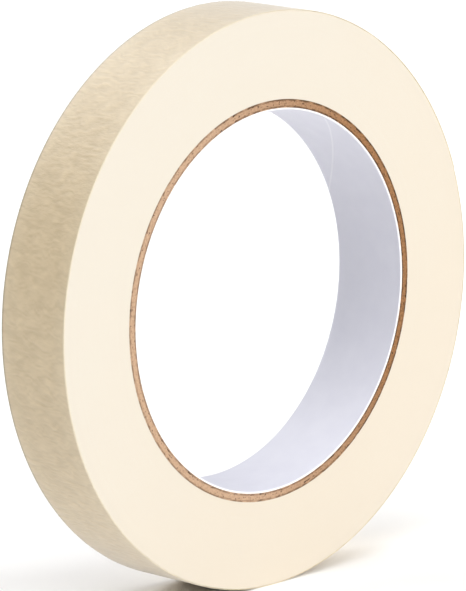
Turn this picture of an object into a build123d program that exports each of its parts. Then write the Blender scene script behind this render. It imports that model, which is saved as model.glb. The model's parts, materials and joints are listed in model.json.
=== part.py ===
from build123d import *

import os
from math import cos, pi, radians, sin, tan

# Roll of crepe-paper masking tape on a spiral-wound paper core.
#
# Millimetres, +Z up. The origin is the centre of the core's bore and the roll's axis is Y, so the
# roll stands on its rim with one flat face towards -Y (the front) and the other towards +Y.
#
# From the bore outwards the roll is a white paper liner ply, four plies of brown board, and one
# continuous web of tape. Each core ply is a strip wound on a helix, so a slice of core shows its
# butt joint as a slanting slit. The web lies on the core as a spiral. Its last turn and its free
# end are layers of their own, each with a backing of crepe paper over a coat of adhesive, and the
# free end lifts off the roll about the line where it leaves it.

# ---- Driving dimensions --------------------------------------------------------------------------
ROLL_WIDTH = 17.0            # both faces of the roll are slit square, and the core is slit with the tape
BORE_DIAMETER = 76.2         # three-inch core

LINER_THICKNESS = 0.45       # white paper ply that lines the bore
BOARD_THICKNESS = 0.43       # each ply of brown core board
BOARD_PLIES = 4

BACKING_THICKNESS = 0.10     # crepe paper
ADHESIVE_THICKNESS = 0.03    # rubber adhesive under the backing
TURNS = 136                  # turns of web from the core to the outside, the last one included

SEAM_SLOPE = tan(radians(30.6))    # a core strip's axial advance per millimetre around the bore
LINER_SEAM_GAP = 0.15
BOARD_SEAM_GAP = 0.40
LINER_SEAM_ANGLE = 67.0            # where the seam meets the front face, from +X towards +Z
BOARD_SEAM_ANGLES = (112.2, 231.0, -3.8, 164.0)    # the same, from the inner board ply outwards

TIP_ANGLE = 20.0             # where the tape ends, from +X towards +Z
FREE_END_ANGLE = 36.0        # how far the free end reaches back from the tip
FREE_END_LIFT = 0.02         # the free end isn't pressed home like the turns under it
PEEL_LINE_GAP = 0.05         # clearance between the stuck last turn and the free end
REST_FLAT_LENGTH = 5.4       # how much of the rim's crepe is pressed level where the roll stands

START_ANGLE = 300.0          # where the web starts on the core, in the winding's own angle
START_VOID_LENGTH = 2.5      # how far the second turn bridges before it climbs the start edge

# ---- Sizes that follow ---------------------------------------------------------------------------
WEB_THICKNESS = BACKING_THICKNESS + ADHESIVE_THICKNESS
BORE_RADIUS = BORE_DIAMETER / 2
LINER_OUTER_RADIUS = BORE_RADIUS + LINER_THICKNESS
CORE_RADIUS = LINER_OUTER_RADIUS + BOARD_PLIES * BOARD_THICKNESS
# The spiral under the last turn grows by one web thickness per turn, half of it on each side of its mean.
SPIRAL_START_RADIUS = CORE_RADIUS + (TURNS - 1.5) * WEB_THICKNESS
ROLL_RADIUS = CORE_RADIUS + TURNS * WEB_THICKNESS
REST_FLAT_DEPTH = REST_FLAT_LENGTH**2 / (8 * ROLL_RADIUS)
SEAM_LEAD = 2 * pi * BORE_RADIUS * SEAM_SLOPE    # shared by every ply of one tube
SEAM_OVERRUN = 1.0           # the slit's blade starts and ends this far outside the core

# In the winding's own plane the angle grows along the web, clockwise seen from the front, from 0
# below the tip to 360 at the tip.
tip = radians(TIP_ANGLE)
WINDING = Plane(origin=(0, 0, 0), x_dir=(cos(tip), 0, sin(tip)), z_dir=(0, 1, 0))
FACE = Plane(origin=(0, 0, 0), x_dir=(1, 0, 0), z_dir=(0, -1, 0))
PEEL_ANGLE = 360 - FREE_END_ANGLE
STUCK_END_ANGLE = PEEL_ANGLE - 360 * PEEL_LINE_GAP / (2 * pi * ROLL_RADIUS)


def across_the_roll(face):
    """The solid that a face drawn at the middle of the roll sweeps across its whole width."""
    return extrude(face, amount=ROLL_WIDTH / 2, both=True)


# ---- Core ----------------------------------------------------------------------------------------
def seam_slit(inner_radius, outer_radius, gap, front_angle):
    """A thin radial blade that follows the butt joint of one ply from the front face to the back."""
    length = ROLL_WIDTH + 2 * SEAM_OVERRUN
    twist = 360 * length / SEAM_LEAD
    start_angle = front_angle + 360 * SEAM_OVERRUN / SEAM_LEAD
    depth = outer_radius - inner_radius
    blade = Pos((inner_radius + outer_radius) / 2, 0) * Rectangle(2 * depth, gap)
    front = -ROLL_WIDTH / 2 - SEAM_OVERRUN
    section = Pos(0, front, 0) * (FACE * (Rot(0, 0, start_angle) * blade))
    return Solid.extrude_linear_with_rotation(
        section.face(), center=(0, front, 0), normal=(0, length, 0), angle=twist
    )


def core_ply(inner_radius, thickness, gap, front_angle):
    """One helically wound strip of the core: a ring whose two edges almost meet along a slanting slit."""
    outer_radius = inner_radius + thickness
    ring = across_the_roll(FACE * (Circle(outer_radius) - Circle(inner_radius)))
    return ring - seam_slit(inner_radius, outer_radius, gap, front_angle)


def core():
    """The liner and the board plies over it, from the bore outwards."""
    plies = {"core_liner": core_ply(BORE_RADIUS, LINER_THICKNESS, LINER_SEAM_GAP, LINER_SEAM_ANGLE)}
    for ply, seam_angle in enumerate(BOARD_SEAM_ANGLES):
        inner_radius = LINER_OUTER_RADIUS + ply * BOARD_THICKNESS
        board = core_ply(inner_radius, BOARD_THICKNESS, BOARD_SEAM_GAP, seam_angle)
        plies[f"core_board_ply_{ply + 1}"] = board
    return plies


# ---- Tape ----------------------------------------------------------------------------------------
def spiral_arc(height, start, end):
    """Arcs of the winding's spiral, at a height above the turn that carries the last one, between two angles.

    One turn of spiral is two half circles. Their centres lie a quarter of a web thickness to each side of the
    axis, so they meet in line and the radius has grown by one web thickness when the turn closes.
    """
    offset = WEB_THICKNESS / 4
    halves = (
        (-offset, SPIRAL_START_RADIUS + offset, 0, 180),
        (offset, SPIRAL_START_RADIUS + 3 * offset, 180, 360),
    )
    arcs = []
    for centre, radius, low, high in halves:
        first = max(start, low)
        last = min(end, high)
        if last > first:
            arcs.append(CenterArc((centre, 0), radius + height, first, last - first))
    return Wire(arcs)


def web_layer(low, high, start, end):
    """A layer of the last turn between two heights and two winding angles, across the roll's width."""
    under = spiral_arc(low, start, end)
    over = spiral_arc(high, start, end)
    ends = [Line(under @ 0, over @ 0), Line(under @ 1, over @ 1)]
    outline = Wire([*under.edges(), *over.edges(), *ends])
    return across_the_roll(WINDING * Face(outline))


def start_edge_void():
    """The wedge that stays open where the second turn climbs over the square-cut start of the web."""
    at_edge = radians(START_ANGLE)
    before_edge = at_edge - START_VOID_LENGTH / CORE_RADIUS
    below = CORE_RADIUS - WEB_THICKNESS
    top = CORE_RADIUS + WEB_THICKNESS
    corners = (
        (below, before_edge),
        (CORE_RADIUS, before_edge),
        (top, at_edge),
        (below, at_edge),
    )
    outline = Polyline(*[(r * cos(a), r * sin(a)) for r, a in corners], close=True)
    return across_the_roll(WINDING * make_face(outline))


def wound_tape():
    """Every turn under the last one, with the step where the last turn begins and the void over the start."""
    spiral = spiral_arc(0, 0, 360)
    step = Line(spiral @ 1, spiral @ 0)
    winding = Face(Wire([*spiral.edges(), step])) - Circle(CORE_RADIUS)
    return across_the_roll(WINDING * winding) - start_edge_void()


def rest_flat(layer):
    """The outermost layer with the bottom of the rim pressed level, over the rest flat's length."""
    bottom = layer.bounding_box().min.Z
    pressed = Box(2 * REST_FLAT_LENGTH, 2 * ROLL_WIDTH, 2 * REST_FLAT_DEPTH)
    return layer - Pos(0, 0, bottom) * pressed


def last_turn():
    """The two layers of the last turn, from below the tip round to the peel line."""
    backing = web_layer(ADHESIVE_THICKNESS, WEB_THICKNESS, 0, STUCK_END_ANGLE)
    return {
        "last_turn_adhesive": web_layer(0, ADHESIVE_THICKNESS, 0, STUCK_END_ANGLE),
        "last_turn_backing": rest_flat(backing),
    }


def free_end():
    """The two layers of the free end, from the peel line to the tip, lying just clear of the turn below."""
    bottom = FREE_END_LIFT
    middle = bottom + ADHESIVE_THICKNESS
    top = bottom + WEB_THICKNESS
    return {
        "free_end_adhesive": web_layer(bottom, middle, PEEL_ANGLE, 360),
        "free_end_backing": web_layer(middle, top, PEEL_ANGLE, 360),
    }


def peel_line():
    """The point, seen along the axis, about which the free end lifts: the outer edge of its root."""
    offset = WEB_THICKNESS / 4
    radius = SPIRAL_START_RADIUS + 3 * offset + WEB_THICKNESS + FREE_END_LIFT
    angle = radians(-FREE_END_ANGLE)
    return WINDING.from_local_coords((offset + radius * cos(angle), radius * sin(angle), 0))


# ---- The pieces ----------------------------------------------------------------------------------
def build():
    """Every separate piece of the roll, by node name."""
    return {**core(), "wound_tape": wound_tape(), **last_turn(), **free_end()}


if __name__ == "__main__":
    os.makedirs("parts", exist_ok=True)
    for name, shape in build().items():
        export_step(shape, f"parts/{name}.step")
    print("the free end's hinge line passes through", peel_line())
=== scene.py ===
# %% [markdown]
# # A roll of masking tape
# The real object is one long strip of creped paper with rubber adhesive on its back, wound on a core of
# paper plies. The CAD model, here called the frame, holds every piece's size and the joint about which the
# free end lifts. This script gives each piece the surface that the eye looks for.

# %% Load the frame
import json
import bmesh
import bpy
import numpy as np
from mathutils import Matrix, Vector


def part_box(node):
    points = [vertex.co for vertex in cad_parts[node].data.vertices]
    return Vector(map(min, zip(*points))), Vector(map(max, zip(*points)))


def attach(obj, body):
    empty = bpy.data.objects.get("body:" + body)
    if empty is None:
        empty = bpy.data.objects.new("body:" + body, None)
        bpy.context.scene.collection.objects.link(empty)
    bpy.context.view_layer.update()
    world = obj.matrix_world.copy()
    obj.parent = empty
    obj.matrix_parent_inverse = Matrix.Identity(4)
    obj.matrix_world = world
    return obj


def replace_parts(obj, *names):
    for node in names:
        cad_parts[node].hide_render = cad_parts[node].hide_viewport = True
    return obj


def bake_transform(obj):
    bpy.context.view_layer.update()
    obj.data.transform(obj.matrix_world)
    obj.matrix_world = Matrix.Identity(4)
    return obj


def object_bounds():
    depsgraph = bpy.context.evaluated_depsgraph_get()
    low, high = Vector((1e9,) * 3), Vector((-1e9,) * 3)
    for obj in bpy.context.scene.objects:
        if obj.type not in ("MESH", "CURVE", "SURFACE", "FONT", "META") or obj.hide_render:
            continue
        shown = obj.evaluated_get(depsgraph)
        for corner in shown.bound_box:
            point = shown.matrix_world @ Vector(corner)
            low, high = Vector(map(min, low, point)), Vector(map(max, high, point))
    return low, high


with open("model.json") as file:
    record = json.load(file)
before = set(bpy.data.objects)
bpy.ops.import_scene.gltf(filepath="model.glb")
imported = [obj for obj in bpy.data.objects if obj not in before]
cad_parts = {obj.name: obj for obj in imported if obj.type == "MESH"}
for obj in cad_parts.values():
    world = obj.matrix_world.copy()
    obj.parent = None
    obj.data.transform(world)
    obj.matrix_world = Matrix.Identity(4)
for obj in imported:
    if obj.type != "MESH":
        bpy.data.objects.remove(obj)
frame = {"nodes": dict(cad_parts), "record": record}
cad_low, cad_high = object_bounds()
print("frame pieces:", sorted(frame["nodes"]))

# %% [markdown]
# ## The sizes the roll is made from
# Masking tape is about 0.13 mm thick: 0.10 mm of creped paper over 0.03 mm of adhesive. The core is a white
# liner ply and four plies of brown board, and each ply has its seam at an angle of its own. These are the
# same few numbers that the frame was made from, in millimetres and degrees, and what the frame can tell
# (the bore and the width) is read from it.

# %% Driving sizes
MM = 0.001
mounts = {mount["name"]: mount for mount in frame["record"]["mounts"]}
BORE_RADIUS = mounts["core_bore"]["dims"]["r_mm"]
WIDTH = mounts["core_bore"]["dims"]["length_mm"]
LINER, BOARD, BOARD_PLIES = 0.45, 0.43, 4
BACKING, ADHESIVE = 0.10, 0.03
WEB = BACKING + ADHESIVE
TURNS = 136
SEAM_SLOPE_ANGLE, LINER_SEAM, BOARD_SEAMS = 30.6, 67.0, (112.2, 231.0, -3.8, 164.0)
CORE_RADIUS = BORE_RADIUS + LINER + BOARD_PLIES * BOARD
ROLL_RADIUS = CORE_RADIUS + TURNS * WEB
TIP_ANGLE, FREE_END_ANGLE, FREE_END_LIFT = 20.0, 36.0, 0.02
PEEL_ANGLE = 360.0 - FREE_END_ANGLE
SPIRAL_START = CORE_RADIUS + (TURNS - 1.5) * WEB
core_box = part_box("core_board_ply_4")
print("core radius", CORE_RADIUS, "mm, and in the frame", round(core_box[1].z / MM, 2))

# %% [markdown]
# ## Random heights that stay the same
# Paper is uneven in many sizes at once: fibres, wrinkles, cloudy patches. All of them can be drawn from one
# tool, a lattice of random numbers with smooth slopes between its corners. Stretching the lattice makes
# streaks or wrinkles, and its seed makes it the same each time. Blender's own noise nodes do this too, but
# a height worked out here can shape the mesh itself.

# %% Lattice noise
LATTICE = (4096, 512)


def lattice_noise(u, v, seed, period=None):
    """Random heights from -1 to 1, smooth between the corners of a lattice of unit cells.

    Inside a cell the height is mixed from its four corners with the weight w*w*(3 - 2*w) each way. The
    pattern repeats after a whole number of cells along u where a period is given.
    """
    cells = (period or LATTICE[0], LATTICE[1])
    corners = np.random.default_rng(seed).uniform(-1, 1, cells)
    u, v = np.broadcast_arrays(u, v)
    column, row = np.floor(u).astype(int), np.floor(v).astype(int)
    wu, wv = u - column, v - row
    wu, wv = wu * wu * (3 - 2 * wu), wv * wv * (3 - 2 * wv)
    this, after = column % cells[0], (column + 1) % cells[0]
    below, above = row % cells[1], (row + 1) % cells[1]
    near = corners[this, below] * (1 - wu) + corners[after, below] * wu
    far = corners[this, above] * (1 - wu) + corners[after, above] * wu
    return near * (1 - wv) + far * wv


print("noise sample", np.round(lattice_noise(np.arange(3) * 0.5, 0.2, seed=1), 3))

# %% [markdown]
# ## One way to make every piece
# Each piece of this roll is a band: a small cross-section carried round the axis, either all the way or with
# two cut ends. So one function is enough. It takes a grid of points, one closed section per row, joins
# neighbouring points with quads, and caps the ends. It turns the faces outwards by the sign of the volume
# they enclose, which is surer than thinking about it.

# %% A band from a grid of points
TOUCHING, SHARP_EDGE = 1e-7, 38


def enclosed_volume(points, quads):
    """The volume inside the quads: a sixth of the triple products of the two triangles of each."""
    a, b, c, d = (points[quads[:, k]] for k in range(4))
    return (np.cross(b, c) * a + np.cross(c, d) * a).sum() / 6


def weld(mesh):
    """Merges the points that lie on one another, where a ring's ends meet."""
    work = bmesh.new()
    work.from_mesh(mesh)
    bmesh.ops.remove_doubles(work, verts=work.verts, dist=TOUCHING)
    work.to_mesh(mesh)
    work.free()


def band(name, body, slot, sections, materials, skins=None, step=None, **attributes):
    """A closed mesh from sections[along, round, xyz], in millimetres.

    skins gives, for each column, the number of the material on the face after it. A band gets a flat cap on
    each end, unless it has a step: then it is a ring whose first and last sections are the same but for the
    columns of the step, and those are joined by one face. Each attribute is a value per point.
    """
    along, around = sections.shape[:2]
    ids = np.arange(along * around).reshape(along, around)
    here, ahead = ids[:-1], ids[1:]
    quads = np.stack([here, ahead, np.roll(ahead, -1, 1), np.roll(here, -1, 1)], -1).reshape(-1, 4)
    points = sections.reshape(-1, 3) * MM
    caps = [ids[0].tolist(), ids[-1, ::-1].tolist()]
    if step:
        caps = [ids[0, step].tolist() + ids[-1, step][::-1].tolist()]
    faces = quads.tolist() + caps
    if enclosed_volume(points, quads) < 0:
        faces = [face[::-1] for face in faces]
    mesh = bpy.data.meshes.new(name)
    mesh.from_pydata(points, [], faces)
    for label, values in attributes.items():
        spread = np.broadcast_to(values, (along, around)).astype(np.float32)
        mesh.attributes.new(label, "FLOAT", "POINT").data.foreach_set("value", spread.ravel())
    for material in materials:
        mesh.materials.append(material)
    if skins is not None:
        cap_skins = [0] * (len(faces) - len(quads))
        rows = len(quads) // around
        mesh.polygons.foreach_set("material_index", [*np.tile(skins, rows).tolist(), *cap_skins])
    if step:
        weld(mesh)
    mesh.polygons.foreach_set("use_smooth", [True] * len(mesh.polygons))
    mesh.set_sharp_from_angle(angle=np.radians(SHARP_EDGE))
    piece = bpy.data.objects.new(name, mesh)
    bpy.context.scene.collection.objects.link(piece)
    if body:
        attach(piece, body)
    print(f"{name}: {len(mesh.polygons)} faces")
    return piece


# %% [markdown]
# ## Colours and nodes
# A colour read off a sample is an sRGB hex value, and the shader wants linear light, so one function turns
# one into the other. Another adds a node with its settings and links, which keeps each material short
# enough to read as a recipe. The Mix node has places for numbers, vectors and colours side by side, so the
# places for colours get names here.

# %% Colour and node helpers
def paint(hex_colour):
    """Linear RGBA from an sRGB hex value."""
    srgb = np.array([int(hex_colour[k : k + 2], 16) for k in (1, 3, 5)]) / 255
    linear = np.where(srgb <= 0.04045, srgb / 12.92, ((srgb + 0.055) / 1.055) ** 2.4)
    return (*linear.tolist(), 1.0)


def add(tree, kind, inputs=None, **settings):
    """Adds a shader node. settings go on the node, and inputs are values or sockets to link from."""
    node = tree.nodes.new("ShaderNode" + kind)
    for key, value in settings.items():
        setattr(node, key, value)
    for key, value in (inputs or {}).items():
        if isinstance(value, bpy.types.NodeSocket):
            tree.links.new(value, node.inputs[key])
        else:
            node.inputs[key].default_value = value
    return node


FACTOR, FIRST, SECOND, MIXED = 0, 6, 7, 2
print("cream", [round(c, 3) for c in paint("#F7F0E0")])

# %% An empty finish
def new_finish(name, **shader_values):
    """A material with one Principled shader, and the constants set on the shader's own sockets."""
    material = bpy.data.materials.new(name)
    material.use_nodes = True
    shader = material.node_tree.nodes["Principled BSDF"]
    for socket, value in shader_values.items():
        shader.inputs[socket.replace("_", " ")].default_value = value
    return material, material.node_tree, shader


# %% [markdown]
# ## Creped paper
# The backing is saturated crepe paper. On the machine a blade crowds the wet sheet into fine wrinkles that
# run across the tape, and a release coat gives them a dull satin. Colour follows height: the hollows are
# painted darker and the crests paler, a painted shade and a painted light on the wrinkles. The band carries
# its own height and its place along the tape as attributes, and the finest wrinkles, too small for the mesh,
# are bump.

# %% Creped paper finish
def creped_paper():
    """Beige crepe: painted shade in hollows and painted light on crests, cloudy formation, paler corners with a
    painted highlight at the front one and painted shade at the back one, and fine wrinkles as bump.
    """
    material, tree, shader = new_finish(
        "creped_saturated_paper",
        Roughness=0.7,
        IOR=1.48,
        Coat_Weight=0.5,
        Coat_Roughness=0.35,
        Sheen_Weight=0.8,
        Sheen_Roughness=0.5,
    )
    height = add(tree, "Attribute", attribute_name="crepe").outputs["Fac"]
    along = add(tree, "Attribute", attribute_name="along").outputs["Fac"]
    across = add(tree, "SeparateXYZ", {0: add(tree, "TexCoord").outputs["Object"]}).outputs["Y"]
    flat = add(tree, "CombineXYZ", {"X": along, "Y": across}).outputs[0]
    # Painted shade in the hollows and painted light on the crests of the wrinkles that the mesh carries.
    depth = add(tree, "MapRange", {"Value": height, "From Min": -1.0, "From Max": 1.0}).outputs[0]
    by_height_painted_shade = {FACTOR: depth, FIRST: paint("#AE986F"), SECOND: paint("#DEC9A2")}
    tone = add(tree, "Mix", by_height_painted_shade, data_type="RGBA").outputs[MIXED]
    # Cloudy formation of the sheet, in patches of about 2.5 mm.
    clouds = add(tree, "TexNoise", {"Vector": flat, "Scale": 1 / 2.5e-3, "Detail": 4.0, "Roughness": 0.6})
    cloudy = add(tree, "MapRange", {"Value": clouds.outputs["Fac"], "From Min": 0.3, "From Max": 0.7})
    by_cloud = {FACTOR: cloudy.outputs[0], FIRST: paint("#C6AF88"), SECOND: paint("#D1BC95")}
    soft = add(tree, "Mix", by_cloud, data_type="RGBA").outputs[MIXED]
    sheet = add(tree, "Mix", {FACTOR: 0.4, FIRST: tone, SECOND: soft}, data_type="RGBA").outputs[MIXED]
    # The last 4 mm beside each corner are paler, and a painted highlight lies along the front corner.
    half = WIDTH / 2 * MM
    off_middle = add(tree, "Math", {0: across}, operation="ABSOLUTE").outputs[0]
    near_corner = {"Value": off_middle, "From Min": half - 4e-3, "From Max": half, "To Max": 0.25}
    corner_share = add(tree, "MapRange", near_corner).outputs[0]
    by_corner_share = {FACTOR: corner_share, FIRST: sheet, SECOND: paint("#DFCFB0")}
    corner_paled = add(tree, "Mix", by_corner_share, data_type="RGBA").outputs[MIXED]
    at_front = {"Value": across, "From Min": -half + 0.35e-3, "From Max": -half + 0.1e-3}
    by_painted_front_highlight = {FACTOR: add(tree, "MapRange", at_front).outputs[0], FIRST: corner_paled, SECOND: paint("#DFD1B5")}
    front_highlight_painted = add(tree, "Mix", by_painted_front_highlight, data_type="RGBA").outputs[MIXED]
    # Painted shade along the back corner, a line half a millimetre wide.
    at_back = {"Value": across, "From Min": half - 0.60e-3, "From Max": half - 0.25e-3, "To Max": 0.8}
    by_place_tone = {FACTOR: add(tree, "MapRange", at_back).outputs[0], FIRST: front_highlight_painted, SECOND: paint("#8F7F60")}
    tree.links.new(add(tree, "Mix", by_place_tone, data_type="RGBA").outputs[MIXED], shader.inputs["Base Color"])
    # Wrinkles 0.3 mm apart along the tape and about 1 mm long across it.
    scale = (1 / 0.3e-3, 1 / 1.0e-3, 1)
    stretched = add(tree, "Mapping", {"Vector": flat, "Scale": scale}).outputs[0]
    wrinkles = add(tree, "TexNoise", {"Vector": stretched, "Scale": 1.0, "Detail": 3.0, "Distortion": 0.8})
    bump = add(tree, "Bump", {"Height": wrinkles.outputs["Fac"], "Strength": 0.8, "Distance": 0.08e-3})
    tree.links.new(bump.outputs[0], shader.inputs["Normal"])
    return material


CREPE = creped_paper()
print("finish:", CREPE.name, len(CREPE.node_tree.nodes), "nodes")

# %% [markdown]
# ## The slit edges of the web
# The flat faces of the roll are the cut edges of 136 turns, pressed together. Each is paper with a thread of
# adhesive beside it, 0.13 mm apart, so from arm's length the face is one smooth cream with a breath of rings
# in it. A radial pattern needs the distance from the roll's axis, which both cut faces, the web's and the
# board's, get from the same few nodes. The threads lie on the spiral itself: the radius less a web
# thickness for each turn of angle, whose fraction tells paper from adhesive.

# %% Distance from the axis, and turns of the spiral
def from_axis(tree, place):
    """The socket of the distance from the Y axis: the length of the place without its Y."""
    flat = add(tree, "VectorMath", {0: place, 1: (1, 0, 1)}, operation="MULTIPLY").outputs[0]
    return add(tree, "VectorMath", {0: flat}, operation="LENGTH").outputs["Value"]


def share_of_turn(tree, place, radius):
    """The socket of how far through its own web thickness a place on the face is, from 0 to 1."""
    x, _, z = add(tree, "SeparateXYZ", {0: place}).outputs
    angle = add(tree, "Math", {0: z, 1: x}, operation="ARCTAN2").outputs[0]
    unwound = {0: angle, 1: WEB * MM / (2 * np.pi), 2: radius}
    spiral = add(tree, "Math", unwound, operation="MULTIPLY_ADD").outputs[0]
    first_turn = (SPIRAL_START + WEB * TIP_ANGLE / 360) * MM
    from_first = add(tree, "Math", {0: spiral, 1: first_turn}, operation="SUBTRACT").outputs[0]
    turn = add(tree, "Math", {0: from_first, 1: 1 / (WEB * MM)}, operation="MULTIPLY").outputs[0]
    return add(tree, "Math", {0: turn}, operation="FRACT").outputs[0]


# %% Slit web finish
def slit_web():
    """Cream cut edges: faint rings by radius, slow drifts of tone, a painted highlight at the rim, and
    ring-wise bump.
    """
    material, tree, shader = new_finish("slit_paper_web", Roughness=0.85, IOR=1.45)
    place = add(tree, "TexCoord").outputs["Object"]
    radius = from_axis(tree, place)
    # Rings of a few turns together, 0.6 mm: single turns of 0.13 mm are finer than the eye resolves.
    rings = add(tree, "TexNoise", {"W": radius, "Scale": 1 / 0.6e-3, "Detail": 2.0}, noise_dimensions="1D")
    ringed = add(tree, "MapRange", {"Value": rings.outputs["Fac"], "From Min": 0.2, "From Max": 0.8})
    by_ring = {FACTOR: ringed.outputs[0], FIRST: paint("#DBD1C2"), SECOND: paint("#DCD4C6")}
    tone = add(tree, "Mix", by_ring, data_type="RGBA").outputs[MIXED]
    # The face is yellower towards low on the right, unevenly over patches of 12 mm.
    low_right_reach = add(tree, "VectorMath", {0: place, 1: (0.7, 0, -0.7)}, operation="DOT_PRODUCT").outputs["Value"]
    patches = add(tree, "TexNoise", {"Vector": place, "Scale": 1 / 12e-3, "Detail": 3.0})
    shifted = {0: patches.outputs["Fac"], 1: 0.04, 2: low_right_reach}
    uneven = add(tree, "Math", shifted, operation="MULTIPLY_ADD").outputs[0]
    yellower_share = add(tree, "MapRange", {"Value": uneven, "From Min": -0.02, "From Max": 0.06}).outputs[0]
    by_low_right = {FACTOR: yellower_share, FIRST: paint("#DBD5C9"), SECOND: paint("#DDD2C1")}
    drifted = add(tree, "Mix", by_low_right, data_type="RGBA").outputs[MIXED]
    face = add(tree, "Mix", {FACTOR: 0.6, FIRST: tone, SECOND: drifted}, data_type="RGBA").outputs[MIXED]
    # A painted highlight on the outermost turns, a half-millimetre line at the corner.
    outer = {"Value": radius, "From Min": (ROLL_RADIUS - 0.6) * MM, "From Max": (ROLL_RADIUS - 0.2) * MM}
    by_painted_highlight = {FACTOR: add(tree, "MapRange", outer).outputs[0], FIRST: face, SECOND: paint("#DFD7C7")}
    highlight_painted = add(tree, "Mix", by_painted_highlight, data_type="RGBA").outputs[MIXED]
    # Every turn shows its thread of adhesive, 0.03 mm in each 0.13 mm, softened at its border.
    glue = ADHESIVE / WEB
    at_thread = {"Value": share_of_turn(tree, place, radius), "From Min": glue, "From Max": glue + 0.08}
    thread = add(tree, "MapRange", {**at_thread, "To Min": 0.3, "To Max": 0.0}).outputs[0]
    by_thread = {FACTOR: thread, FIRST: highlight_painted, SECOND: paint("#C8B288")}
    tree.links.new(add(tree, "Mix", by_thread, data_type="RGBA").outputs[MIXED], shader.inputs["Base Color"])
    bump = add(tree, "Bump", {"Height": rings.outputs["Fac"], "Strength": 0.1, "Distance": 0.02e-3})
    tree.links.new(bump.outputs[0], shader.inputs["Normal"])
    return material


SLIT_WEB = slit_web()
print("finish:", SLIT_WEB.name, len(SLIT_WEB.node_tree.nodes), "nodes")

# %% [markdown]
# ## Core board
# Core board is unbleached kraft: brown, fibrous, and torn a little by the slitting knife. Its cut is browner on
# the right and paler on the left. Glue and loose fibres darken the borders beside the liner and beside the
# tape in broken dashes. The pits where fibres tore out are in the mesh, and it hands over how deep they are as
# an attribute, which paints them dark: painted shade in the pits.

# %% Kraft board finish
def kraft_board():
    """Brown board: fibres as fine noise, dark dashes along the borders, flecks, and pits where fibres tore,
    painted dark as painted shade.
    """
    material, tree, shader = new_finish("kraft_core_board", Roughness=0.92, IOR=1.45)
    place = add(tree, "TexCoord").outputs["Object"]
    radius = from_axis(tree, place)
    along = add(tree, "Attribute", attribute_name="along").outputs["Fac"]
    strip = add(tree, "CombineXYZ", {"X": along, "Y": radius}).outputs[0]
    fibres = add(tree, "TexNoise", {"Vector": place, "Scale": 1 / 0.5e-3, "Detail": 5.0, "Roughness": 0.7})
    by_grain = {"Value": fibres.outputs["Fac"], "From Min": 0.3, "From Max": 0.7}
    spread = add(tree, "MapRange", by_grain).outputs[0]
    # Browner on the right, paler on the left.
    side = add(tree, "VectorMath", {0: place, 1: (0.98, 0, 0.17)}, operation="DOT_PRODUCT").outputs["Value"]
    left_share = add(tree, "MapRange", {"Value": side, "From Min": 0.030, "From Max": -0.012}).outputs[0]
    by_fibre = {FACTOR: spread, FIRST: paint("#7B5330"), SECOND: paint("#AB7C51")}
    brown_right = add(tree, "Mix", by_fibre, data_type="RGBA").outputs[MIXED]
    by_fibre = {FACTOR: spread, FIRST: paint("#B08D70"), SECOND: paint("#CCAC8E")}
    pale_left = add(tree, "Mix", by_fibre, data_type="RGBA").outputs[MIXED]
    by_place_tone = {FACTOR: left_share, FIRST: brown_right, SECOND: pale_left}
    tone = add(tree, "Mix", by_place_tone, data_type="RGBA").outputs[MIXED]
    # The borders are a quarter of a millimetre wide, 0.36 to 0.60 mm off the middle of the board.
    middle = (BORE_RADIUS + LINER + CORE_RADIUS) / 2 * MM
    outward = add(tree, "Math", {0: radius, 1: middle}, operation="SUBTRACT").outputs[0]
    off_middle = add(tree, "Math", {0: outward}, operation="ABSOLUTE").outputs[0]
    border = add(tree, "MapRange", {"Value": off_middle, "From Min": 0.36e-3, "From Max": 0.60e-3}).outputs[0]
    # Torn fibres are finer than this: the dashes are drawn 1.8 mm long and 0.4 mm wide, the flecks 0.45 mm.
    dash_scale = (1 / 1.8e-3, 1 / 0.40e-3, 1)
    dash_place = add(tree, "Mapping", {"Vector": strip, "Scale": dash_scale}).outputs[0]
    dashes = add(tree, "TexNoise", {"Vector": dash_place, "Scale": 1.0, "Detail": 3.0, "Roughness": 0.6})
    broken = add(tree, "MapRange", {"Value": dashes.outputs["Fac"], "From Min": 0.40, "From Max": 0.53})
    dashed = add(tree, "Math", {0: border, 1: broken.outputs[0]}, operation="MULTIPLY").outputs[0]
    faded = add(tree, "MapRange", {"Value": left_share, "To Min": 1.0, "To Max": 0.6}).outputs[0]
    darkening = add(tree, "Math", {0: dashed, 1: faded}, operation="MULTIPLY").outputs[0]
    by_border = {FACTOR: darkening, FIRST: tone, SECOND: paint("#4A311C")}
    bordered = add(tree, "Mix", by_border, data_type="RGBA").outputs[MIXED]
    flecks = add(tree, "TexNoise", {"Vector": strip, "Scale": 1 / 0.45e-3, "Detail": 2.0, "Roughness": 0.5})
    few = add(tree, "MapRange", {"Value": flecks.outputs["Fac"], "From Min": 0.63, "From Max": 0.69})
    by_fleck = {FACTOR: few.outputs[0], FIRST: bordered, SECOND: paint("#4A3324")}
    flecked = add(tree, "Mix", by_fleck, data_type="RGBA").outputs[MIXED]
    # The pits are painted dark by their depth: painted shade in the recesses.
    pits = add(tree, "Attribute", attribute_name="pits").outputs["Fac"]
    by_pit = {FACTOR: pits, FIRST: flecked, SECOND: paint("#3E2A1C")}
    tree.links.new(add(tree, "Mix", by_pit, data_type="RGBA").outputs[MIXED], shader.inputs["Base Color"])
    bump = add(tree, "Bump", {"Height": fibres.outputs["Fac"], "Strength": 0.6, "Distance": 0.08e-3})
    tree.links.new(bump.outputs[0], shader.inputs["Normal"])
    return material


KRAFT = kraft_board()
print("finish:", KRAFT.name, len(KRAFT.node_tree.nodes), "nodes")
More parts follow.
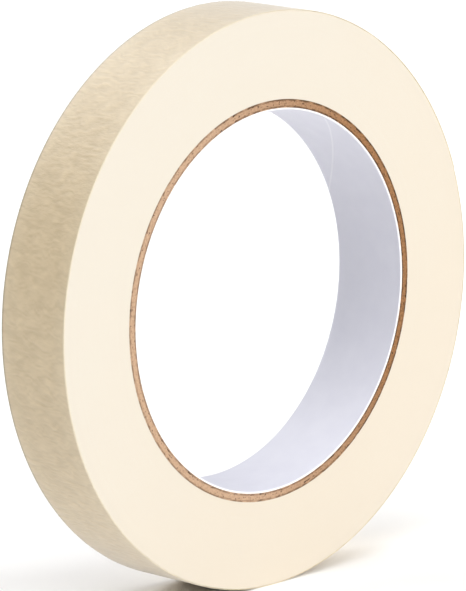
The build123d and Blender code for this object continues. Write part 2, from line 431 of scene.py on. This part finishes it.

# %% [markdown]
# ## Liner paper
# The liner is bleached and calendered between steel rollers, so its face is smooth, with a cool white. Where
# the knife cut it, and where its own two edges meet in the bore, it is painted brighter: painted highlights.

# %% Liner paper finish
def liner_paper():
    """Cool white calendered paper: faint clouds, painted highlights on the cut edges and seam, and a whisper of
    tooth.
    """
    material, tree, shader = new_finish("calendered_liner_paper", Roughness=0.55, IOR=1.5)
    place = add(tree, "TexCoord").outputs["Object"]
    clouds = add(tree, "TexNoise", {"Vector": place, "Scale": 1 / 4e-3, "Detail": 3.0}).outputs["Fac"]
    by_cloud = {FACTOR: clouds, FIRST: paint("#D2D2DD"), SECOND: paint("#DBDBE4")}
    sheet = add(tree, "Mix", by_cloud, data_type="RGBA").outputs[MIXED]
    # The seam's lip is painted whiter: a painted highlight where it stands up.
    lip = add(tree, "Attribute", attribute_name="lip").outputs["Fac"]
    by_lip = {FACTOR: lip, FIRST: sheet, SECOND: paint("#E4E4EB")}
    seamed = add(tree, "Mix", by_lip, data_type="RGBA").outputs[MIXED]
    # A painted highlight over the last 0.1 mm, where the edge rolls over into the bore.
    across = add(tree, "SeparateXYZ", {0: place}).outputs["Y"]
    off_middle = add(tree, "Math", {0: across}, operation="ABSOLUTE").outputs[0]
    half = WIDTH / 2 * MM
    at_cut = {"Value": off_middle, "From Min": half - 0.10e-3, "From Max": half - 0.03e-3}
    by_cut = {FACTOR: add(tree, "MapRange", at_cut).outputs[0], FIRST: seamed, SECOND: paint("#F4F1EE")}
    tree.links.new(add(tree, "Mix", by_cut, data_type="RGBA").outputs[MIXED], shader.inputs["Base Color"])
    # The tooth of the sheet is about 0.15 mm.
    tooth = add(tree, "TexNoise", {"Vector": place, "Scale": 1 / 0.15e-3, "Detail": 2.0})
    bump = add(tree, "Bump", {"Height": tooth.outputs["Fac"], "Strength": 0.1, "Distance": 0.02e-3})
    tree.links.new(bump.outputs[0], shader.inputs["Normal"])
    return material


LINER_PAPER = liner_paper()
print("finish:", LINER_PAPER.name, len(LINER_PAPER.node_tree.nodes), "nodes")

# %% [markdown]
# ## Adhesive
# The adhesive is natural rubber and resin, yellowish and half glossy. It shows as a thread at the slit edge,
# and in full when the free end is lifted. The coating bar drags fine streaks along it.

# %% Rubber adhesive finish
def rubber_adhesive():
    """Pale yellow pressure-sensitive adhesive, half glossy, with the drag marks of its coating bar."""
    material, tree, shader = new_finish("natural_rubber_adhesive", Roughness=0.38, IOR=1.52)
    across = add(tree, "SeparateXYZ", {0: add(tree, "TexCoord").outputs["Object"]}).outputs["Y"]
    # Drag marks run along the tape, about 0.6 mm apart across it.
    streaks = {"W": across, "Scale": 1 / 0.6e-3, "Detail": 2.0}
    drag = add(tree, "TexNoise", streaks, noise_dimensions="1D").outputs["Fac"]
    by_drag = {FACTOR: drag, FIRST: paint("#DCC48C"), SECOND: paint("#EAD7A8")}
    tree.links.new(add(tree, "Mix", by_drag, data_type="RGBA").outputs[MIXED], shader.inputs["Base Color"])
    bump = add(tree, "Bump", {"Height": drag, "Strength": 0.15, "Distance": 0.02e-3})
    tree.links.new(bump.outputs[0], shader.inputs["Normal"])
    return material


RUBBER = rubber_adhesive()
print("finish:", RUBBER.name, len(RUBBER.node_tree.nodes), "nodes")

# %% [markdown]
# ## The core's plies
# A core is wound from strips at a slant, so each ply is a band whose two edges meet along a helix, leaving a
# butt seam. In a slice of core as short as this one the seam crosses the bore as one slanting line. Each
# ply's grid slants with its own seam, from one edge of the strip to the other, so the seam is real and not
# drawn on.

# %% Ply geometry
SEAM_TURN = WIDTH / (BORE_RADIUS * np.tan(np.radians(SEAM_SLOPE_ANGLE)))
ROUND_PLY = 1200


def around_axis(radius, angle, across):
    """Points at a radius and angle round the Y axis, from +X towards +Z, and a place across the roll."""
    radius, angle, across = np.broadcast_arrays(radius, angle, across)
    return np.stack([radius * np.cos(angle), across, radius * np.sin(angle)], -1)


def ply_section(inner, outer, columns, rows):
    """One closed loop of (radius, across) round a ply: bore side, back cut, outside, front cut."""
    half = WIDTH / 2
    across = np.linspace(-half, half, columns)
    radial = np.linspace(inner, outer, rows)[1:-1]
    radius = np.concatenate([np.full(columns, inner), radial, np.full(columns, outer), radial[::-1]])
    place = np.concatenate([across, np.full(rows - 2, half), across[::-1], np.full(rows - 2, -half)])
    return radius, place


def strip_angles(place, seam_angle, gap, radius):
    """Angles of a strip's grid: from one edge of its seam round to the other, slanting with the seam.

    At a place across the roll the seam lies at its front angle less its turn times the share of the width
    passed. The strip runs from half a gap past it to half a gap before it.
    """
    share = place / WIDTH + 0.5
    seam = np.radians(seam_angle) - SEAM_TURN * share
    half_gap = gap / 2 / radius
    round_share = np.linspace(0, 1, ROUND_PLY)[:, None]
    return seam + half_gap + round_share * (2 * np.pi - 2 * half_gap)


# %% [markdown]
# ## The liner
# Its cut edges roll over into the bore, because the knife drags the soft sheet with it, so each edge of the
# loop is a quarter of an ellipse. The seams of the board behind press through as a soft ridge, and where its
# own two edges meet they stand up a little and catch the light.

# %% The liner's section
EDGE_ROLL = 0.22


def liner_section(columns, steps):
    """The liner's loop of (radius, across), its cut edges quarter ellipses that roll over into the bore."""
    half = WIDTH / 2
    turn = np.linspace(0, np.pi / 2, steps)
    climb, inset = LINER * (1 - np.cos(turn)), EDGE_ROLL * (1 - np.sin(turn))
    across = np.linspace(EDGE_ROLL - half, half - EDGE_ROLL, columns)[1:-1]
    outer = np.linspace(half, -half, columns)[1:-1]
    radius = [np.full(columns - 2, BORE_RADIUS), BORE_RADIUS + climb]
    radius += [np.full(columns - 2, BORE_RADIUS + LINER), BORE_RADIUS + climb[::-1]]
    place = [across, half - inset, outer, inset[::-1] - half]
    return np.concatenate(radius), np.concatenate(place)


# %% The liner
LINER_GAP = 0.03
LIP_WIDTH, LIP_HEIGHT = 0.35, 0.04
RIDGE_WIDTH, RIDGE_HEIGHT = 1.5, 0.05
WAVE_HEIGHT, WAVE_LENGTH, WAVES_ROUND = 0.03, 6, 24


def core_liner():
    """The white ply: bore wall gently uneven, where the board's seams and waves show through."""
    radius, place = liner_section(columns=25, steps=7)
    angle = strip_angles(place, LINER_SEAM, LINER_GAP, BORE_RADIUS)
    turns = angle / (2 * np.pi)
    wall = np.abs(radius - BORE_RADIUS) < 1e-6
    waves = lattice_noise(turns * WAVES_ROUND, place / WAVE_LENGTH + 40, seed=11, period=WAVES_ROUND)
    # The seam of the ply behind shows through as a soft ridge.
    behind = np.radians(BOARD_SEAMS[0]) - SEAM_TURN * (place / WIDTH + 0.5) + 2 * np.pi
    ridge = np.exp(-(((angle - behind) * BORE_RADIUS / RIDGE_WIDTH) ** 2))
    rows = np.arange(ROUND_PLY)[:, None]
    from_edge = np.minimum(rows, ROUND_PLY - 1 - rows) * 2 * np.pi * BORE_RADIUS / ROUND_PLY
    lip = wall * np.exp(-((from_edge / LIP_WIDTH) ** 2))
    lift = wall * (WAVE_HEIGHT * waves - RIDGE_HEIGHT * ridge) - LIP_HEIGHT * lip
    points = around_axis(radius + lift, angle, place)
    return band("core_liner_ply", "roll", "liner_paper", points, [LINER_PAPER], lip=lip)


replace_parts(core_liner(), "core_liner")

# %% [markdown]
# ## The board plies
# Each is a strip like the liner, with square-cut edges. The knife leaves them rough, a few hundredths of a
# millimetre in and out, and pulls out fibres where two plies part, which leaves pits up to 0.14 mm deep. The
# pattern repeats after a whole turn, so it meets itself at the seam.

# %% The board plies
BOARD_GAP = 0.40
CUT_DEPTH, CUT_ROUGHNESS, PIT_DEPTH = 0.025, 0.02, 0.14
GRAINS_ROUND, TEARS_ROUND = 480, 360


def board_ply(number, seam_angle):
    """One brown ply: cut edges roughened, and pits where fibres tore out along its borders."""
    inner = BORE_RADIUS + LINER + (number - 1) * BOARD
    radius, place = ply_section(inner, inner + BOARD, columns=15, rows=6)
    angle = strip_angles(place, seam_angle, BOARD_GAP, inner)
    turns = angle / (2 * np.pi)
    cut = np.abs(np.abs(place) - WIDTH / 2) < 1e-6
    side = np.sign(place) * cut
    rough = lattice_noise(turns * GRAINS_ROUND, radius / 0.2 + 40, seed=20 + number, period=GRAINS_ROUND)
    across_tears = radius / 0.36 + side * 90 + 140
    torn = lattice_noise(turns * TEARS_ROUND, across_tears, seed=30 + number, period=TEARS_ROUND)
    pits = cut * np.clip((torn - 0.74) * 8, 0, 1)
    inward = cut * (CUT_DEPTH + CUT_ROUGHNESS * rough + PIT_DEPTH * pits)
    points = around_axis(radius, angle, place - side * inward)
    along = angle * CORE_RADIUS * MM
    return band(f"core_board_{number}", "roll", "core_board", points, [KRAFT], pits=pits, along=along)


for number, seam_angle in enumerate(BOARD_SEAMS, 1):
    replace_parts(board_ply(number, seam_angle), f"core_board_ply_{number}")

# %% [markdown]
# ## The spiral
# A web wound on itself is a spiral that grows by one web thickness each turn. The frame draws one turn of it
# as two half circles whose centres lie a quarter of a thickness to each side of the axis, and the bands here
# follow the same two half circles, so they lie exactly where the frame's solids do. The winding angle grows
# along the web, clockwise seen from the front, and is 0 under the tip and 360 at it.

# %% Points on the spiral
def on_spiral(winding, height, across):
    """Points at a winding angle in degrees, a height above the turn below, and a place across the roll."""
    winding, height, across = np.broadcast_arrays(winding, height, across)
    first_half = winding < 180
    shift = np.where(first_half, -WEB / 4, WEB / 4)
    radius = SPIRAL_START + np.where(first_half, WEB / 4, 3 * WEB / 4) + height
    turn, tip = np.radians(winding), np.radians(TIP_ANGLE)
    level, down = shift + radius * np.cos(turn), radius * np.sin(turn)
    x = level * np.cos(tip) + down * np.sin(tip)
    z = level * np.sin(tip) - down * np.cos(tip)
    return np.stack([x, across, z], -1)


peel_point = on_spiral(PEEL_ANGLE, WEB, 0.0)

# %% [markdown]
# ## The wrinkles of the crepe
# The wrinkles are real geometry: an uneven set of ridges under a millimetre apart and a few millimetres
# long, lying across the tape and wandering a little. The place along the tape sets the pattern, so it runs
# on without a break from the last turn into the free end.

# %% Crepe heights
CREPE_RELIEF = 0.055
PAPER_START = 400


def crepe(along, across):
    """Crepe height from -1 to 1 at a place along and across the tape, in millimetres.

    The place along is first pushed to and fro by a slow noise, so that the ridges wander. Two noises
    stretched across the tape make the ridges and the finer wrinkles between them, and a soft one swells.
    The places are counted from a start far back along the tape, so none is negative.
    """
    along = along + PAPER_START
    wander = 1.0 * lattice_noise(along / 2.2, across / 1.6 + 30, seed=61)
    ridges = lattice_noise((along + wander) / 0.44, across / 1.8 + 30, seed=62)
    wrinkles = lattice_noise((along - wander) / 0.35, across / 1.1 + 30, seed=63)
    swell = lattice_noise(along / 5.0, across / 4.0 + 30, seed=64)
    return 0.55 * ridges + 0.28 * wrinkles + 0.17 * swell


# %% [markdown]
# ## The wound web
# Under the last turn lie 135 more. Nothing tells them apart but their edges, so they are one band with a
# wide, detailed face on each side. Slit rolls are never quite flat: rings of turns stand a few hundredths of
# a millimetre proud or shy, and the outermost turns ease back at the corner.

# %% The slit faces
FACE_RINGS = 40
CORNER_RINGS = np.array([0.30, 0.20, 0.12, 0.05])
EASED = 0.30


def face_relief(radius, winding, seed):
    """How far the slit face lies in from flat, in millimetres: rings, broad waves and an eased corner."""
    turns = winding / 360
    rings = lattice_noise(turns * 6, radius / 1.4, seed=seed, period=6)
    waves = lattice_noise(turns * 9, radius / 5.0, seed=seed + 1, period=9)
    corner = np.clip((radius - (SPIRAL_START - EASED)) / EASED, 0, 1) ** 2
    return 0.035 + 0.012 * rings + 0.018 * waves + 0.04 * corner


# %% The wound web
FINE_FROM, COARSE_ROWS, FINE_ROWS = 320, 560, 260
OUTSIDE_COLUMNS = 21


def wound_web():
    """The pack: a ring with a face grid on each side, creped outside, and the step under the tip."""
    # The rows are closest together under the free end, where the outside can be seen.
    coarse = np.linspace(0, FINE_FROM, COARSE_ROWS, endpoint=False)
    winding = np.concatenate([coarse, np.linspace(FINE_FROM, 360, FINE_ROWS)])[:, None]
    half = WIDTH / 2
    radii = np.linspace(CORE_RADIUS, SPIRAL_START - 0.5, FACE_RINGS - len(CORNER_RINGS))
    radii = np.concatenate([radii, SPIRAL_START - CORNER_RINGS])
    angle = np.radians(TIP_ANGLE - winding)
    front = around_axis(radii, angle, face_relief(radii, winding, 41) - half)
    back = around_axis(radii, angle, half - face_relief(radii, winding, 51))
    across = np.linspace(-half, half, OUTSIDE_COLUMNS)
    across = np.broadcast_to(across, (len(winding), OUTSIDE_COLUMNS)).copy()
    across[:, :1] += face_relief(SPIRAL_START, winding, 41)
    across[:, -1:] -= face_relief(SPIRAL_START, winding, 51)
    along = np.radians(winding) * ROLL_RADIUS
    wrinkles = crepe(along - 2 * np.pi * ROLL_RADIUS, across)
    # The crepe stays below the turn above, and fades out at the two ends of the ring so that they meet.
    fade = np.clip(winding / 2, 0, 1) * np.clip((360 - winding) / 2, 0, 1)
    outside = on_spiral(winding, CREPE_RELIEF * (wrinkles - 1) * fade, across)
    sections = np.concatenate([front, outside, back[:, ::-1]], 1)
    first, last = front.shape[1], front.shape[1] + across.shape[1] - 1
    skins = np.zeros(sections.shape[1], int)
    skins[first:last] = 1
    heights = np.zeros(sections.shape[:2])
    heights[:, first : last + 1] = wrinkles
    return band(
        "wound_web", "roll", "tape_web", sections, [SLIT_WEB, CREPE], skins.tolist(),
        step=list(range(first, last + 1)), along=along * MM, crepe=heights,
    )


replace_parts(wound_web(), "wound_tape")

# %% [markdown]
# ## A layer of the web
# The outermost turn carries the look of the rim, in two layers, the crepe paper and the adhesive under it.
# Its slit edges are crushed a little by the knife, so its outside falls away over the last fifth of a
# millimetre, and the grid is finest there.

# %% A layer of the web
CRUSH, CRUSH_WIDTH = 0.045, 0.20
EDGE_STEPS = np.array([0.0, 0.03, 0.08, 0.14])
EDGE_INSET, INNER_COLUMNS, ROW_STEP = 0.03, 37, 0.155
RISE_DEGREES = 3.0


def across_web():
    """Places across the web from the front edge to the back one, closest together at the edges."""
    half = WIDTH / 2 - EDGE_INSET
    inner = np.linspace(CRUSH_WIDTH - half, half - CRUSH_WIDTH, INNER_COLUMNS)
    return np.concatenate([EDGE_STEPS - half, inner, half - EDGE_STEPS[::-1]])


def web_band(name, body, slot, low, high, start, end, relief, materials):
    """A layer of the web between two heights and two winding angles, its outside raised by the relief.

    Over the crushed edge the outside falls by the square of the share of its width that is passed.
    """
    count = int(np.radians(end - start) * ROLL_RADIUS / ROW_STEP) + 2
    winding = np.linspace(start, end, count)[:, None]
    across = across_web()
    along = np.radians(winding) * ROLL_RADIUS
    height = crepe(along, across)
    crushed = np.clip((np.abs(across) - across[-1] + CRUSH_WIDTH) / CRUSH_WIDTH, 0, 1) ** 2
    # Past the peel line the web rises to lie just clear of the turn below.
    lift = np.clip((winding - PEEL_ANGLE) / RISE_DEGREES, 0, 1) * FREE_END_LIFT
    fall = relief * height * (1 - crushed) - min(CRUSH, relief) * crushed
    outside = on_spiral(winding, high + lift + fall, across)
    # Where the roll stands on its rim, the crepe is pressed level with the frame's lowest place.
    outside[..., 2] = np.maximum(outside[..., 2], cad_low.z / MM)
    inside = on_spiral(winding, low + lift, across[[-1, 0]])
    sections = np.concatenate([outside, inside], 1)
    heights = np.concatenate([height, np.zeros((count, 2))], 1)
    skins = [0] * (len(across) - 1) + [1, 1, 1]
    return band(name, body, slot, sections, materials, skins, along=along * MM, crepe=heights)


# %% [markdown]
# ## The last turn
# It runs from under the tip all the way round to the peel line, where the free end leaves it. Its ends are
# square cuts, so the two layers are stacked bands with nothing to fill between them.

# %% The last turn
last_backing = web_band(
    "last_turn_crepe", "roll", "crepe_paper", ADHESIVE, WEB, 0.0, PEEL_ANGLE, CREPE_RELIEF, [CREPE, SLIT_WEB]
)
last_adhesive = web_band(
    "last_turn_rubber", "roll", "adhesive", 0.0, ADHESIVE, 0.0, PEEL_ANGLE, 0.0, [RUBBER, RUBBER]
)
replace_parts(last_backing, "last_turn_backing")
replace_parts(last_adhesive, "last_turn_adhesive")

# %% [markdown]
# ## The free end
# The tape's end is pressed down on the turn below and lifts with a thumbnail. Thin tape peels with a tight
# bend, so its two layers turn from the roll's movement to the end's within about three millimetres. Here
# they are two bands from just past the peel line to the tip, on neither body. The places where such a bend
# would begin, a little before the peel line, and end are worked out, but nothing here uses them.

# %% The free end
BEND_BEFORE, BEND_AFTER = 2.5, 3.0
PEEL_GAP = 0.02
free_start = PEEL_ANGLE + PEEL_GAP
free_backing = web_band(
    "free_end_crepe", None, "crepe_paper", ADHESIVE, WEB, free_start, 360.0, CREPE_RELIEF, [CREPE, SLIT_WEB]
)
free_adhesive = web_band(
    "free_end_rubber", None, "adhesive", 0.0, ADHESIVE, free_start, 360.0, 0.0, [RUBBER, RUBBER]
)
bend = np.degrees(np.array([-BEND_BEFORE, BEND_AFTER]) / ROLL_RADIUS)
bend_start, bend_end = on_spiral(PEEL_ANGLE + bend, WEB, 0.0) * MM
for piece, node_name in ((free_backing, "free_end_backing"), (free_adhesive, "free_end_adhesive")):
    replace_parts(piece, node_name)
    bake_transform(piece)

# %% [markdown]
# ## The floor
# The roll stands on its rim on a pale matte floor. One wide quad is enough: it runs far past the view, so no
# edge or horizon shows, and its height is the frame's lowest place.

# %% Floor
FLOOR_REACH = 60.0


def pale_floor():
    """A wide floor with a matte near-white coat."""
    material, _, shader = new_finish("matte_white_floor", Roughness=0.95)
    shader.inputs["Base Color"].default_value = paint("#FCFCFC")
    signs = ((-1, -1), (1, -1), (1, 1), (-1, 1))
    corners = [(x * FLOOR_REACH, y * FLOOR_REACH, cad_low.z) for x, y in signs]
    mesh = bpy.data.meshes.new("floor")
    mesh.from_pydata(corners, [], [(0, 1, 2, 3)])
    mesh.materials.append(material)
    floor = bpy.data.objects.new("floor", mesh)
    bpy.context.scene.collection.objects.link(floor)


pale_floor()
print("floor at", round(cad_low.z / MM, 3), "mm")

# %% [markdown]
# ## Light
# Paper this pale needs a lot of soft light from several sides, with one side a little weaker to model the
# roundness of the rim. A sun lamp with a wide disc is as soft as a large window and doesn't fall off with
# distance. The floor throws much of the light back up into the bore.

# %% Lamps
LAMP_WIDTH, LAMP_DISTANCE, SKY = 50.0, 2.0, 0.1


def compass(azimuth, elevation):
    """The direction from the roll to a place seen at an azimuth (0 is in front) and an elevation."""
    a, e = np.radians(azimuth), np.radians(elevation)
    return np.array([np.sin(a) * np.cos(e), -np.cos(a) * np.cos(e), np.sin(e)])


def aim(thing, direction, distance, target=(0.0, 0.0, 0.0)):
    """Puts a lamp or camera at a distance in a direction from a target, looking at it."""
    thing.location = Vector((direction * distance + np.array(target)).tolist())
    thing.rotation_euler = Vector((-direction).tolist()).to_track_quat("-Z", "Y").to_euler()


def soft_lamp(name, azimuth, elevation, strength):
    """A far lamp with a wide disc, strength 1 lighting a white surface that faces it just to white."""
    lamp = bpy.data.lights.new(name, "SUN")
    lamp.energy, lamp.angle = np.pi * strength, np.radians(LAMP_WIDTH)
    holder = bpy.data.objects.new(name, lamp)
    bpy.context.scene.collection.objects.link(holder)
    aim(holder, compass(azimuth, elevation), LAMP_DISTANCE)


soft_lamp("front_lamp", 15, 26, 0.69)
soft_lamp("front_left_lamp", -53, 60, 0.40)
soft_lamp("right_lamp", 90, 30, 0.06)
soft_lamp("back_lamp", 180, 30, 0.70)
soft_lamp("top_lamp", 0, 85, 0.09)

world = bpy.data.worlds.new("studio")
world.use_nodes = True
world.node_tree.nodes["Background"].inputs["Color"].default_value = (1, 1, 1, 1)
world.node_tree.nodes["Background"].inputs["Strength"].default_value = SKY
bpy.context.scene.world = world
bpy.context.scene.view_settings.view_transform = "Standard"

# %% [markdown]
# ## The camera
# A long lens from about a metre away, a little above the middle of the roll and well round to its left, so
# that the face, the rim and the far side of the bore all show. It looks at a place just beside the roll's
# centre, which sets the framing without any lens shift.

# %% Camera
VIEW_AZIMUTH, VIEW_ELEVATION, VIEW_DISTANCE = -46.48, 11.56, 0.9708
FOCAL_LENGTH, ASIDE = 297.2, -1.67
camera = bpy.data.objects.new("camera", bpy.data.cameras.new("camera"))
bpy.context.scene.collection.objects.link(camera)
bpy.context.scene.camera = camera
camera.data.lens = FOCAL_LENGTH
camera.data.clip_start, camera.data.clip_end = 0.05, 200.0
turned = np.radians(VIEW_AZIMUTH)
target = ASIDE * MM * np.array([np.cos(turned), np.sin(turned), 0.0])
aim(camera, compass(VIEW_AZIMUTH, VIEW_ELEVATION), VIEW_DISTANCE, target)
print("camera at", [round(c, 4) for c in camera.location])
